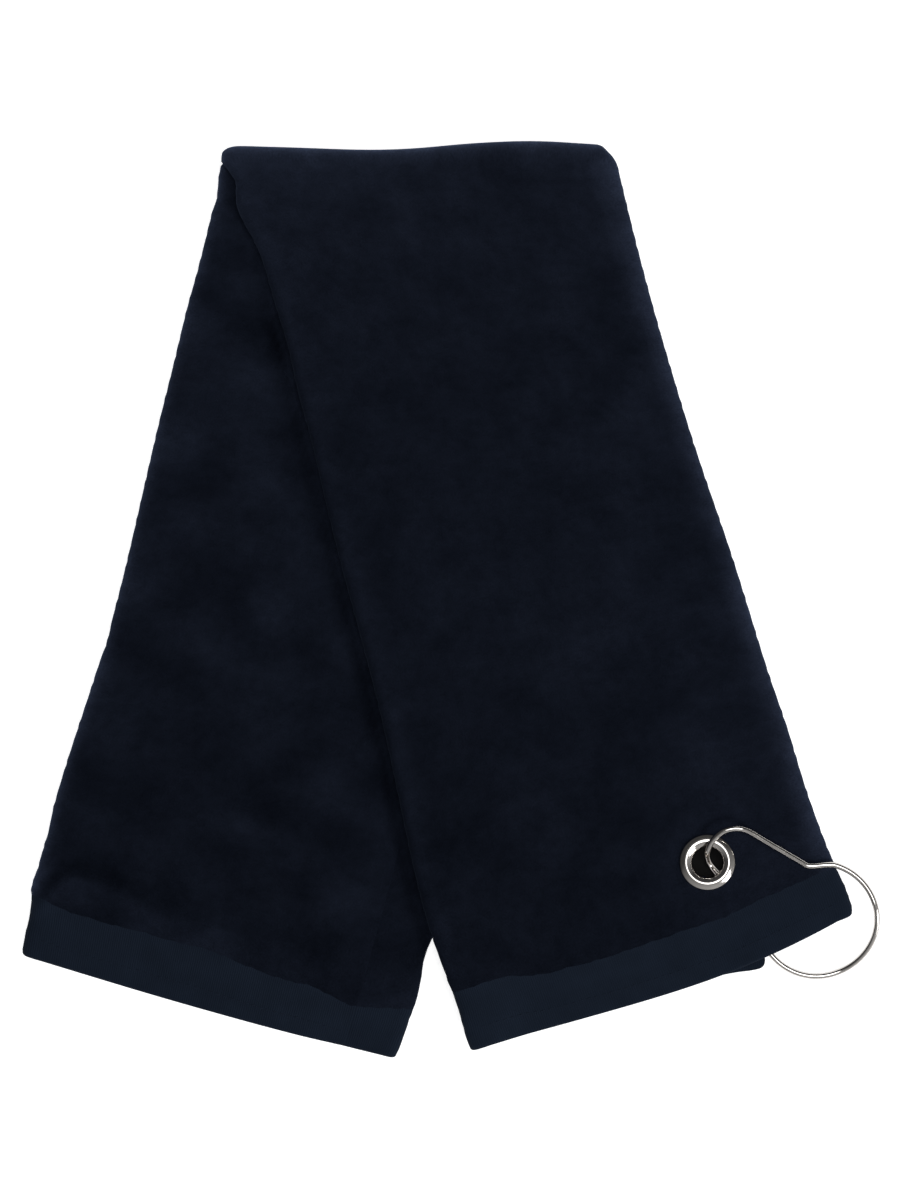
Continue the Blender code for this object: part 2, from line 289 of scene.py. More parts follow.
GROMMET_PRESS, PRESS_R, PRESS_END = 0.36, 9.9, 17.0
HOLE_CUT_R = 6.6
grommet_low, grommet_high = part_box("grommet_eyelet")
GX = (grommet_low[0] + grommet_high[0]) / 2 / MM
GY = (grommet_low[1] + grommet_high[1]) / 2 / MM
BASE = float(drape(np.array(GX), np.array(GY)))
CLOTH_TOP = BASE + LEG_THICK

# Waves of the crosswise fold's outline: where, how wide, how far out.
TOP_WAVES = ((-74, 9, 0.2), (-27, 26, -1.2), (28, 24, 1.9), (4, 14, 0.4))
TOP_CORNER = (52, 8, 3.4)
TOP_CORNER_IN = (50, 9, 1.6)


def top_wave(x):
    """How the crosswise fold's outline leaves a straight line."""
    return lumps(x, TOP_WAVES) - rise(x, *TOP_CORNER)


# Ripples of a leg's long edges: where along the leg, how long and how far they stand out.
RIPPLES = {
    ("front", "left"): (
        (0.02, 0.018, -3.5),
        (0.06, 0.03, 2.4),
        (0.165, 0.045, 1.8),
        (0.255, 0.05, 1.9),
        (0.5, 0.33, 1.1),
        (0.93, 0.055, -1.5),
    ),
    ("front", "right"): ((0.3, 0.1, 0.5), (0.5, 0.07, 0.3), (0.75, 0.06, 0.9), (0.96, 0.025, 1.3)),
    ("rear", "left"): (
        (0.0, 0.022, 1.0),
        (0.04, 0.012, -0.9),
        (0.18, 0.05, 0.6),
        (0.6, 0.02, -0.7),
        (0.845, 0.02, -0.8),
        (0.915, 0.018, 1.6),
        (1.0, 0.06, 1.0),
    ),
    ("rear", "right"): ((0.885, 0.02, -1.5), (0.94, 0.025, 0.5), (1.0, 0.02, -1.2)),
}
SMALL_CORNER_R, FRONT_RIGHT_CORNER_R, FLAP_CORNER_R = 1.5, 3.0, 2.4
# Fine unevenness of the edges: how far out, and how quickly it turns along the leg.
FUZZ_SLOW, FUZZ_FAST = (0.12, 290), (0.1, 533)


def edge_ripple(kind, hand, v):
    """How far a long edge stands out past its smooth line, with the hem's round corner."""
    fuzz = FUZZ_SLOW[0] * np.sin(v * FUZZ_SLOW[1] + len(kind))
    fuzz = fuzz + FUZZ_FAST[0] * np.sin(v * FUZZ_FAST[1] + 2 * len(hand))
    large = (kind, hand) == ("front", "right")
    radius = FRONT_RIGHT_CORNER_R if large else SMALL_CORNER_R
    return lumps(v, RIPPLES[(kind, hand)]) + fuzz - corner(v, radius)


def corner(v, radius):
    """How far a round corner of that radius draws a long edge in, next to the hem."""
    inside = np.clip(radius - (1 - v) * REAR_SPAN, 0, radius)
    return radius - np.sqrt(radius**2 - inside**2)


def pile_reach(kind):
    """How far the pile hangs over the border towards the hem, across a leg, in millimetres."""
    u = ACROSS
    if kind == "front":
        reach = -0.4 + rise(u, 0.1, 0.15, 3.2) - rise(u, 0.42, 0.1, 0.8) - rise(u, 0.72, 0.12, 1.3)
    else:
        flap = rise(u, 0.45, 0.2, 3.2) + rise(u, 0.72, 0.14, 3.2) - lump(u, 0.0, 0.05, 2.8)
        under = np.minimum(3.5 + 3.2 * (1 - u) / (1 - OUTER_END), 6.7)
        middle = -2.8 + 6.3 * u
        reach = np.where(LAYER == 3, flap, np.where(LAYER == 1, under, middle))
    return reach + 0.3 * np.sin(u * 61) * np.sin(u * 23 + 1) + 0.15 * np.sin(u * 171)


# The outer flap: its thinned free edge, how it narrows, and how its corner slips past the hem.
FLAP_TAPER, FLAP_THIN, FLAP_SINK = 18.0, 0.84, 1.04
FLAP_NARROW, FLAP_CORNER_RUN = 0.125, 12.0
SLIP_FROM, SLIP_RUN, SLIP, SLIP_POWER = 0.6, 0.2, 3.6, 12
SLIP_LIFT, SLIP_LIFT_FROM, SLIP_LIFT_RUN = 0.5, 0.97, 0.03
BORDER_PULL = 0.07
EDGE_POWER = 8
RELIEF_START = 12


def cloth_points(kind, at, side):
    """One station's row of points on one face of the cloth, in millimetres."""
    v = 0.0 if kind == "roll" else at
    thick = thickness(v)
    if kind != "roll":
        thick = thick * edge_round((1 - v) * REAR_SPAN, HEM / 2)
    # The outer flap's free edge is pressed thin against the layer it lies on.
    pressed = 1 - smooth(FROM_END / FLAP_TAPER)
    thick = thick * (1 - FLAP_THIN * pressed)
    thick = thick * edge_round(np.minimum(FLAT_ACROSS, FROM_END), PILE / 2)
    half = thick * side * (INNER if side < 0 else 1.0)
    out = OFF + NX * half
    up = UP + NZ * half + FLAP_SINK * pressed
    if kind == "roll":
        return roll_points(at, out, up)
    u = U
    if kind == "front":
        u = U * np.where(LAYER == 3, 1 - FLAP_NARROW * v**3, 1.0)
    # The border's line moves with the pile that hangs over it.
    near_border = (1 - v) / BAND_SHARE
    if v < BAND_EDGE:
        near_border = np.clip(1 - (BAND_EDGE - v) / BORDER_PULL, 0, 1)
    v = v + pile_reach(kind) / REAR_SPAN * near_border
    x, y, ax, ay = plan(FRONT if kind == "front" else REAR, u, v)
    left, right = edge_ripple(kind, "left", v), edge_ripple(kind, "right", v)
    near_edge = np.abs(2 * ACROSS - 1) ** EDGE_POWER
    out = out + near_edge * np.where(U < 0.5, -left, right)
    out = out - corner(v, FLAP_CORNER_R) * (1 - smooth(FROM_END / FLAP_CORNER_RUN))
    if kind == "rear":
        z = LEG_THICK - up
        share = np.clip(z / LEG_THICK, 0, 1) * smooth(at * RELIEF_START)
        x, y = x + ax * out, y + ay * out
        return np.stack([x, y, z + rear_relief(x, y) * share], axis=1)
    # The outer flap's free corner hangs out a little below the hem.
    slip = np.where(LAYER == 3, rise(u, SLIP_FROM, SLIP_RUN, SLIP), 0.0) * at**SLIP_POWER
    x, y = x + ay * slip, y - ax * slip
    from_grommet = np.hypot(x - GX, y - GY)
    press = 1 - smooth((from_grommet - PRESS_R) / (PRESS_END - PRESS_R))
    up = LEG_THICK / 2 + (up - LEG_THICK / 2) * (1 - GROMMET_PRESS * press)
    up = up + slip * rise(at, SLIP_LIFT_FROM, SLIP_LIFT_RUN, SLIP_LIFT)
    share = np.clip(up / LEG_THICK, 0, 1)
    swell = front_relief(x, y, u) * smooth(at * RELIEF_START) * (1 - press)
    return np.stack([x + ax * out, y + ay * out, drape(x, y) + up + swell * share], axis=1)


def roll_points(angle, out, up):
    """The crosswise fold's points: the section turned about the fold's axis."""
    reach = up + LEG_GAP / 2
    x = FOLD_LEFT + (FOLD_RIGHT - FOLD_LEFT) * U + out
    swell = math.sin(angle)
    y = FOLD_Y + reach * swell * (1 + top_wave(x) / (LEG_THICK + LEG_GAP / 2))
    x = x - swell * rise(x, *TOP_CORNER_IN)
    return np.stack([x, y, FOLD_Z - reach * math.cos(angle)], axis=1)


def front_relief(x, y, u):
    """Broad swells of the front leg's upper side, and the hollow beside its left fold."""
    return 0.4 * waves(x, y, 70, 3) + lumps(u, ((0.14, 0.05, -0.5), (0.03, 0.04, 0.25)))


# Folds of the rear leg, each a route with its relief across it and how that fades along it,
# then the same for its painted light and shade. A fade is: run up, where it ends, run down.
FOLDS = (
    (
        [
            (-150, -104.5),
            (-144.5, -103),
            (-136, -93.5),
            (-126, -95),
            (-114, -99.8),
            (-105, -106.8),
            (-94, -111.4),
            (-82, -114),
            (-68, -121),
        ],
        ((-4.2, 2.8, 1.2), (0.3, 2.6, -1.1), (5, 4, 0.4)),
        (0.08, 0.78, 0.28),
        ((0.5, 3.2, -0.2), (-4.2, 2.2, 0.2)),
        (0.08, 0.78, 0.28),
    ),
    (
        [(-95, 114), (-88, 112), (-76, 103), (-63, 93), (-55, 80)],
        ((-9, 6, 0.6), (0, 5, -1.2)),
        (0.2, 1, 0.2),
        ((0, 8, -0.4), (-14, 6, 0.14)),
        (0.2, 1, 0.2),
    ),
    (
        [(-97, 100), (-90, 84), (-77, 62), (-62, 42), (-47, 23)],
        ((0, 8, 0.9),),
        (0.2, 1, 0.2),
        ((0, 9, 0.3),),
        (0.2, 0.88, 0.3),
    ),
)
# Shallow hollows and swells of the rear leg, shaped in the cloth and also painted darker (hollows)
# and lighter (swells) as painted shade and light: where, turn, length, width, how dark (also how
# deep).
HOLLOWS = (
    ((-82, 18), -60, 9, 5, 0.18),
    ((-75, -3), -75, 8, 5, 0.22),
    ((-88, -59), 20, 10, 6, 0.24),
    ((-69, -72), -20, 9, 5, 0.2),
    ((-118, -90), 15, 14, 5, 0.1),
    ((-52, -46), -70, 10, 5, 0.06),
    ((-54, 45), -70, 8, 4, 0.2),
    ((-34, -27), -70, 9, 4, 0.12),
    ((-95, 20), -75, 7, 4, 0.18),
    ((-54, 32), -70, 7, 4, 0.12),
    ((-93, -25), -70, 7, 5, 0.15),
    ((-47, -25), -70, 9, 7, 0.34),
    ((-62, -84), 20, 9, 6, 0.17),
    ((-47, -102), -70, 7, 5, 0.13),
    ((-107, -76), 10, 9, 6, -0.2),
    ((-102, -107), -40, 7, 5, -0.2),
    ((-69, 22), -70, 6, 4, -0.12),
    ((-84, -35), -70, 7, 5, -0.14),
    ((-65, -54), -70, 8, 5, -0.12),
)
# A painted shade of a hollow near the top of the rear leg: where, turn, length, width.
TOP_HOLLOW_PAINTED_SHADE = ((-76, 142), -75, 9, 4)


def faded(along, run_up, end, run_down):
    return smooth(along / run_up) * smooth((end - along) / run_down)


def hollows(x, y):
    return sum(dark * bump(x, y, *oval) for *oval, dark in HOLLOWS)


def leg_share(y):
    return np.clip((FOLD_Y - y) / (FOLD_Y - FRONT["left"][1]), 0, 1)


def rear_relief(x, y):
    """Folds and hollows of the rear leg's upper side, where the front leg leaves it bare."""
    total = 0.35 * waves(x, y, 50, 8) - 2 * hollows(x, y)
    for route, relief, fade, _, _ in FOLDS:
        off, along = beside(x, y, route)
        total = total + lumps(off, relief) * faded(along, *fade)
    edge_x, _ = edge((FOLD_LEFT, FOLD_Y), FRONT["left"], FRONT["left_bow"], leg_share(y))
    return total * smooth((edge_x - x + 4) / 8)


# Painted highlights (sheen) along the outline, as strength and how fast they fade in millimetres.
TOP_RIM, TOP_RIM_WIDE, TOP_RIM_LEFT = (7.0, 1.4), (1.7, 4), (0.3, 14)
LEFT_RIM, RIGHT_RIM, RIGHT_RIM_FINE = (4.5, 1.6), (1.7, 5), (1.5, 0.8)
RIGHT_RIM_TOP_RUN, RIGHT_RIM_TOP_WIDER, RIGHT_RIM_TOP_MORE = 0.25, 2.8, 0.25
# Painted light near the top of each leg, and painted shade towards the hems.
TOP_LIGHT, TOP_LIGHT_RUN = 0.24, 0.3
HEM_PAINTED_SHADE = (0.55, 0.25, 0.21)


def fading(distance, strength, run):
    return strength * np.exp(-distance / run)


def paint_light_and_mottle(kind, at, place):
    """Painted light and shade of the velour, with a random mottle: painted highlights along its
    outline and near the top, painted shade in hollows and towards the hems.
    """
    v = 0.0 if kind == "roll" else at
    x, y = place[:, 0], place[:, 1]
    light = 1.0 + TOP_LIGHT * (1 - smooth(v / TOP_LIGHT_RUN)) - rise(v, *HEM_PAINTED_SHADE)
    below = np.maximum(FOLD_Y + LEG_THICK + LEG_GAP / 2 + top_wave(x) - y, 0)
    # Painted highlights (sheen) along the outline.
    rim = fading(below, *TOP_RIM) + fading(below, *TOP_RIM_WIDE)
    rim = rim + (1 - rise(x, -10, 30)) * fading(below, *TOP_RIM_LEFT)
    if kind == "rear":
        light = light + rear_painted_light(x, y, v)
    else:
        light = light + front_painted_light(x, v)
        near_top = 1 - smooth(v / RIGHT_RIM_TOP_RUN)
        strength, run = RIGHT_RIM
        reach = FROM_RIGHT / (run + RIGHT_RIM_TOP_WIDER * near_top)
        right_rim = strength * np.exp(-(reach**2)) + fading(FROM_RIGHT, *RIGHT_RIM_FINE)
        rim = np.maximum(rim, right_rim * (1 + RIGHT_RIM_TOP_MORE * near_top))
    if kind != "front":
        rim = np.maximum(rim, fading(FROM_LEFT, *LEFT_RIM))
    return light + rim


def front_painted_light(x, v):
    """Painted light and shade of the front leg: lighter along its left fold and near the top,
    darker in a patch by the left fold halfway down, lighter towards the lower right by the
    grommet.
    """
    light = lump(FROM_LEFT, 3.2, 3.4, 0.24) + lump(x, -62, 24, 0.2) * (1 - smooth(v / 0.18))
    light = light - lump(v, 0.54, 0.11, 0.2) * lump(U, 0.08, 0.07, 1.0)
    return light + rise(U, 0.55, 0.25, 0.36) * rise(v, 0.64, 0.12)


def rear_painted_light(x, y, v):
    """Painted light and shade of the rear leg, with a random mottle: along its folds and hollows,
    and a painted shadow beside the front leg's fold.
    """
    light = 0.06 + rise(v, 0.55, 0.25, 0.02) + 0.1 * waves(x, y, 28, 11)
    for route, _, _, shade, fade in FOLDS:
        off, along = beside(x, y, route)
        light = light + lumps(off, shade) * faded(along, *fade)
    share = leg_share(y)
    edge_x, _ = edge((FOLD_LEFT, FOLD_Y), FRONT["left"], FRONT["left_bow"], share)
    from_fold = edge_x + SPAN_X.min() - edge_ripple("front", "left", share) - x
    # Beside the front leg's left fold: a painted highlight at its very edge, and a painted shadow
    # a little further out.
    deep = 0.24 + rise(v, 0.15, 0.12, 0.16) - rise(v, 0.66, 0.1, 0.3)
    crevice_painted_light_and_shade = lump(from_fold, 0, 1.6, 0.45) - lump(from_fold, 3.3, 2.6, deep)
    light = light - hollows(x, y) + crevice_painted_light_and_shade * smooth(v / 0.2)
    # A painted shade where a hollow lies near the top.
    return light - 0.3 * bump(x, y, *TOP_HOLLOW_PAINTED_SHADE)


def quads(a, b, c, d):
    return np.stack([a.ravel(), b.ravel(), c.ravel(), d.ravel()], axis=1)


def snap_hole(points):
    """Draws a row's points next to the grommet's hole onto its round edge."""
    dx, dy = points[:, 0] - GX, points[:, 1] - GY
    r = np.hypot(dx, dy)
    near = (r > 0.3) & (np.abs(r - HOLE_CUT_R) < STEP * 0.75)
    scale = np.where(near, HOLE_CUT_R / np.maximum(r, 1e-6), 1.0)
    points[:, 0], points[:, 1] = GX + dx * scale, GY + dy * scale


def along_sheet(kind, at):
    """How far a station lies along the flat sheet, from the rear hem."""
    if kind == "rear":
        return (1 - at) * REAR_SPAN
    if kind == "roll":
        return REAR_SPAN + at / math.pi * ROLL_ARC
    return REAR_SPAN + ROLL_ARC + at * REAR_SPAN


VELOUR_SLOT, DOBBY_SLOT, TERRY_SLOT = range(3)
HOLE_KEEP = 0.93
# The four ways out of a grid cell: the step to the next cell, and the shared edge's two corners.
WAYS_OUT = (
    ((-1, 0), (0, 1), (0, 0)),
    ((1, 0), (1, 0), (1, 1)),
    ((0, -1), (0, 0), (1, 0)),
    ((0, 1), (1, 1), (0, 1)),
)


def build_cloth():
    """The towel as one closed sheet: points, faces, slots, flat places, weights, and painted light
    and shade.
    """
    n, m = len(stations), len(rows)
    points, light = [], []
    for side in (0.5, -0.5):
        for kind, at in stations:
            row = cloth_points(kind, at, side)
            if kind == "front":
                snap_hole(row)
            points.append(row)
            light.append(paint_light_and_mottle(kind, at, row))
    points, light = np.concatenate(points), np.concatenate(light)
    share = [{"rear": 0.0, "front": 1.0}.get(kind, at / math.pi) for kind, at in stations]
    weight = np.tile(np.repeat(share, m), 2)
    along = np.repeat([along_sheet(kind, at) for kind, at in stations], m)
    uv = np.tile(np.stack([np.tile(FLAT_ACROSS, n), along], axis=1), (2, 1)) * MM

    index = np.arange(n * m).reshape(n, m)
    cells = quads(index[:-1, :-1], index[:-1, 1:], index[1:, 1:], index[1:, :-1])
    middle = (points[: n * m] + points[n * m :]) / 2
    centre = middle[cells].mean(axis=1)
    is_front = np.repeat([kind == "front" for kind, _ in stations[:-1]], m - 1)
    in_hole = np.hypot(centre[:, 0] - GX, centre[:, 1] - GY) < HOLE_CUT_R * HOLE_KEEP
    kept = ~(is_front & in_hole)
    slot = np.where(band_cells(), DOBBY_SLOT, VELOUR_SLOT)
    inner_slot = np.where(band_cells(), DOBBY_SLOT, TERRY_SLOT)

    faces = [cells[kept], cells[kept][:, ::-1] + n * m]
    slots = [slot[kept], inner_slot[kept]]
    # A wall joins the two faces along every edge between a kept cell and an empty one.
    kept, slot = kept.reshape(n - 1, m - 1), slot.reshape(n - 1, m - 1)
    whole = np.pad(kept, 1)
    for (dk, di), first, second in WAYS_OUT:
        neighbour = whole[1 + dk : n + dk, 1 + di : m + di]
        k, i = np.nonzero(kept & ~neighbour)
        a = index[k + first[0], i + first[1]]
        b = index[k + second[0], i + second[1]]
        faces.append(quads(a, b, b + n * m, a + n * m))
        slots.append(slot[k, i])
    faces = np.concatenate(faces)
    used = np.unique(faces)
    renumber = np.zeros(len(points), int)
    renumber[used] = np.arange(len(used))
    faces, slots = renumber[faces], np.concatenate(slots)
    return points[used] * MM, faces, slots, uv[used], weight[used], light[used]


def band_cells():
    """For each cell of the cloth's grid, whether it is in a flat-woven border."""
    v = np.array([0.0 if kind == "roll" else at for kind, at in stations])
    return np.repeat((v[:-1] + v[1:]) / 2 > BAND_EDGE, len(rows) - 1)


def placed(name, mesh):
    """A smooth-shaded object with the mesh, in the scene."""
    mesh.polygons.foreach_set("use_smooth", np.ones(len(mesh.polygons), bool))
    obj = bpy.data.objects.new(name, mesh)
    bpy.context.scene.collection.objects.link(obj)
    return obj


def mesh_from(name, points, faces):
    """A mesh from arrays of points and quads."""
    mesh = bpy.data.meshes.new(name)
    mesh.vertices.add(len(points))
    mesh.vertices.foreach_set("co", np.asarray(points, np.float32).ravel())
    mesh.loops.add(faces.size)
    mesh.loops.foreach_set("vertex_index", faces.astype(np.int32).ravel())
    mesh.polygons.add(len(faces))
    starts = np.arange(0, faces.size, faces.shape[1], dtype=np.int32)
    mesh.polygons.foreach_set("loop_start", starts)
    mesh.update(calc_edges=True)
    mesh.validate()
    return mesh


# ---- materials ----
VELOUR_COLOUR = (0.0062, 0.0081, 0.0141)
DOBBY_COLOUR = (0.0078, 0.0121, 0.0214)
THREAD_COLOUR = (0.0091, 0.0134, 0.0234)
NICKEL_COLOUR = (0.7, 0.67, 0.64)
NICKEL_SPECULAR = (0.25, 0.25, 0.25)
SHEEN_ROUGHNESS = 0.45
# Unevenness in a colour: noise scale, detail and roughness, and how far it lightens and darkens.
VELOUR_MOTTLE = ((26, 1.0, 0.5, 0.1), (75, 3.0, 0.55, 0.2), (320, 3.0, 0.6, 0.14))
PILE_NOISE, PILE_DEPTH = (1500, 2.0, 0.7), 0.22
DOBBY_MOTTLE = (90, 2.0, 0.5, 0.1)
THREAD_MOTTLE = (3000, 2.0, 0.5, 0.2)
TARNISH_NOISE = (260, 3.0, 0.6)
RIB_SCALE, RIB_DISTORTION = 420, 0.6
LOOP_SCALE = 700


def material(name, colour, roughness, metallic=0.0, sheen=0.0, sheen_tint=(1, 1, 1), specular=0.5):
    made = bpy.data.materials.new(name)
    made.use_nodes = True
    shader = made.node_tree.nodes["Principled BSDF"]
    shader.inputs["Base Color"].default_value = (*colour, 1)
    shader.inputs["Roughness"].default_value = roughness
    shader.inputs["Metallic"].default_value = metallic
    shader.inputs["Specular IOR Level"].default_value = specular
    shader.inputs["Sheen Weight"].default_value = sheen
    shader.inputs["Sheen Tint"].default_value = (*sheen_tint, 1)
    shader.inputs["Sheen Roughness"].default_value = SHEEN_ROUGHNESS
    return made, made.node_tree, shader


def noise(tree, coord, scale, detail, rough):
    node = tree.nodes.new("ShaderNodeTexNoise")
    node.inputs["Scale"].default_value = scale
    node.inputs["Detail"].default_value = detail
    node.inputs["Roughness"].default_value = rough
    tree.links.new(coord, node.inputs["Vector"])
    return node.outputs["Fac"]


def ramp(tree, value, low, high, dark, light):
    node = tree.nodes.new("ShaderNodeMapRange")
    node.inputs["From Min"].default_value = low
    node.inputs["From Max"].default_value = high
    node.inputs["To Min"].default_value = dark
    node.inputs["To Max"].default_value = light
    tree.links.new(value, node.inputs["Value"])
    return node.outputs["Result"]


def uneven(tree, value, depth):
    """A noise's middle range, turned into a factor from 1 - depth to 1 + depth."""
    return ramp(tree, value, 0.3, 0.7, 1 - depth, 1 + depth)


def mottle(tree, coord, scale, detail, rough, depth):
    return uneven(tree, noise(tree, coord, scale, detail, rough), depth)


def sum_or_product(tree, operation, a, b):
    node = tree.nodes.new("ShaderNodeMath")
    node.operation = operation
    tree.links.new(a, node.inputs[0])
    tree.links.new(b, node.inputs[1])
    return node.outputs["Value"]


def multiply(tree, a, b):
    return sum_or_product(tree, "MULTIPLY", a, b)


def add(tree, a, b):
    return sum_or_product(tree, "ADD", a, b)


def tint(tree, shader, colour, value):
    """Gives the shader the colour times a value."""
    node = tree.nodes.new("ShaderNodeVectorMath")
    node.operation = "SCALE"
    node.inputs[0].default_value = colour
    tree.links.new(value, node.inputs["Scale"])
    tree.links.new(node.outputs["Vector"], shader.inputs["Base Color"])


def flat_coords(tree):
    node = tree.nodes.new("ShaderNodeUVMap")
    node.uv_map = "flat"
    return node.outputs["UV"]


def object_coords(tree):
    return tree.nodes.new("ShaderNodeTexCoord").outputs["Object"]


def bumped(tree, shader, height, distance, strength):
    node = tree.nodes.new("ShaderNodeBump")
    node.inputs["Distance"].default_value = distance
    node.inputs["Strength"].default_value = strength
    tree.links.new(height, node.inputs["Height"])
    tree.links.new(node.outputs["Normal"], shader.inputs["Normal"])


def velour_material():
    made, tree, shader = material(
        "velour", VELOUR_COLOUR, 0.95, sheen=0.06, sheen_tint=(0.5, 0.65, 1.0), specular=0.0
    )
    uv = flat_coords(tree)
    broad, patches, tufts = (mottle(tree, uv, *settings) for settings in VELOUR_MOTTLE)
    pile = noise(tree, uv, *PILE_NOISE)
    # Painted light and shade from the cloth's points, with a random mottle, multiplied into the
    # colour.
    lightness = tree.nodes.new("ShaderNodeAttribute")
    lightness.attribute_name = "painted_light_and_mottle"
    grain_with_painted_light = multiply(tree, uneven(tree, pile, PILE_DEPTH), lightness.outputs["Fac"])
    coarse = multiply(tree, multiply(tree, broad, patches), tufts)
    tint(tree, shader, VELOUR_COLOUR, multiply(tree, coarse, grain_with_painted_light))
    bumped(tree, shader, pile, 0.0006, 0.5)
    return made


def dobby_material():
    made, tree, shader = material(
        "dobby_border", DOBBY_COLOUR, 0.9, sheen=0.03, sheen_tint=(0.6, 0.8, 1.0), specular=0.05
    )
    uv = flat_coords(tree)
    wave = tree.nodes.new("ShaderNodeTexWave")
    wave.wave_type = "BANDS"
    wave.bands_direction = "X"
    wave.inputs["Scale"].default_value = RIB_SCALE
    wave.inputs["Distortion"].default_value = RIB_DISTORTION
    tree.links.new(uv, wave.inputs["Vector"])
    ribs = ramp(tree, wave.outputs["Fac"], 0, 1, 0.85, 1.12)
    tint(tree, shader, DOBBY_COLOUR, multiply(tree, ribs, mottle(tree, uv, *DOBBY_MOTTLE)))
    bumped(tree, shader, wave.outputs["Fac"], 0.0002, 0.4)
    return made


def terry_material():
    made, tree, shader = material(
        "terry_loops", VELOUR_COLOUR, 0.95, sheen=0.06, sheen_tint=(0.5, 0.65, 1.0), specular=0.0
    )
    cells = tree.nodes.new("ShaderNodeTexVoronoi")
    cells.inputs["Scale"].default_value = LOOP_SCALE
    tree.links.new(flat_coords(tree), cells.inputs["Vector"])
    # Painted shade: lighter on the loops' tops, darker in the gaps between them.
    tint(tree, shader, VELOUR_COLOUR, ramp(tree, cells.outputs["Distance"], 0.0, 0.7, 1.25, 0.6))
    bumped(tree, shader, cells.outputs["Distance"], -0.0008, 0.8)
    return made


def thread_material():
    made, tree, shader = material("thread", THREAD_COLOUR, 0.8, specular=0.05)
    tint(tree, shader, THREAD_COLOUR, mottle(tree, object_coords(tree), *THREAD_MOTTLE))
    return made


def nickel_material():
    made, tree, shader = material("nickel", NICKEL_COLOUR, 0.12, metallic=1.0)
    shader.inputs["Specular Tint"].default_value = (*NICKEL_SPECULAR, 1)
    tarnish = noise(tree, object_coords(tree), *TARNISH_NOISE)
    tint(tree, shader, NICKEL_COLOUR, ramp(tree, tarnish, 0.3, 0.75, 0.93, 1.02))
    tree.links.new(ramp(tree, tarnish, 0.3, 0.7, 0.07, 0.15), shader.inputs["Roughness"])
    return made


THREAD = thread_material()
NICKEL = nickel_material()

points, faces, slots, uv, weight, light = build_cloth()
cloth = placed("towel_cloth", mesh_from("towel_cloth", points, faces))
cloth.data.polygons.foreach_set("material_index", slots.astype(np.int32))
flat_places = cloth.data.uv_layers.new(name="flat")
flat_places.data.foreach_set("uv", uv[faces.ravel()].astype(np.float32).ravel())
# Painted light and shade of the velour, with a random mottle, kept on the cloth's points.
painted_light_and_mottle = cloth.data.attributes.new("painted_light_and_mottle", "FLOAT", "POINT")
painted_light_and_mottle.data.foreach_set("value", light.astype(np.float32))
for make in (velour_material, dobby_material, terry_material):
    cloth.data.materials.append(make())

# ---- grommet ----
LATHE_STEPS = 144
ROUND_STEPS, ROUND_MOST = 5, 0.45


def lathe(name, outline):
    """A closed outline of (radius, height) turned about the grommet's axis."""
    radius, height = np.array(outline).T
    turn = np.linspace(0, math.tau, LATHE_STEPS, endpoint=False)[:, None]
    x, y = GX + radius * np.cos(turn), GY + radius * np.sin(turn)
    points = np.stack([x, y, np.broadcast_to(height, x.shape)], axis=2).reshape(-1, 3) * MM
    a = np.arange(len(points)).reshape(LATHE_STEPS, len(outline))
    b = np.roll(a, -1, axis=0)
    obj = placed(name, mesh_from(name, points, quads(a, b, np.roll(b, -1, 1), np.roll(a, -1, 1))))
    obj.data.materials.append(NICKEL)
    return obj


def rounded(corners, radius):
    """A closed outline with its corners rounded off."""
    corners = np.array(corners, float)
    found = []
    for i in range(len(corners)):
        before, at, after = corners[i - 1], corners[i], corners[(i + 1) % len(corners)]
        a, b = before - at, after - at
        la, lb = np.linalg.norm(a), np.linalg.norm(b)
        r = min(radius, la * ROUND_MOST, lb * ROUND_MOST)
        start, stop = at + a / la * r, at + b / lb * r
        for t in np.linspace(0, 1, ROUND_STEPS + 1):
            found.append((1 - t) ** 2 * start + 2 * t * (1 - t) * at + t * t * stop)
    return found


FLANGE_UNDER = CLOTH_TOP - 1.0
FLANGE_EDGE = FLANGE_UNDER + 0.5
FLANGE_TOP = FLANGE_UNDER + 1.5
HOLE_R, BARREL_R, WASHER_R, CROWN_R, FLANGE_R, CURL_R = 5.65, 6.15, 6.45, 7.45, 9.7, 7.4
WASHER_TOP = BASE + 1.0
WASHER_UNDER = WASHER_TOP - 0.8
CURL_TOP = WASHER_UNDER - 0.1
CURL_UNDER = BASE - 0.35
CROWN_SHARP, CROWN_STEPS = 1.45, 20
EYELET_ROUND, WASHER_ROUND = 0.35, 0.2


def crown():
    """The eyelet's face: up from the hole, over the crown and down to the flange's edge."""
    share = np.sin(np.linspace(0, math.pi / 2, CROWN_STEPS))
    rest = (1 - share**CROWN_SHARP) ** (1 / CROWN_SHARP)
    height = FLANGE_EDGE + (FLANGE_TOP - FLANGE_EDGE) * rest
    inside = [(CROWN_R - (CROWN_R - HOLE_R) * t, z) for t, z in zip(share, height)]
    outside = [(CROWN_R + (FLANGE_R - CROWN_R) * t, z) for t, z in zip(share, height)]
    return inside[::-1] + outside[1:]


lower = [
    (FLANGE_R, FLANGE_UNDER),
    (BARREL_R, FLANGE_UNDER),
    (BARREL_R, CURL_TOP),
    (CURL_R, CURL_TOP),
    (CURL_R, CURL_UNDER),
    (HOLE_R, CURL_UNDER),
]
washer_corners = [
    (WASHER_R, WASHER_UNDER),
    (WASHER_R, WASHER_TOP),
    (FLANGE_R, WASHER_TOP),
    (FLANGE_R, WASHER_UNDER),
]
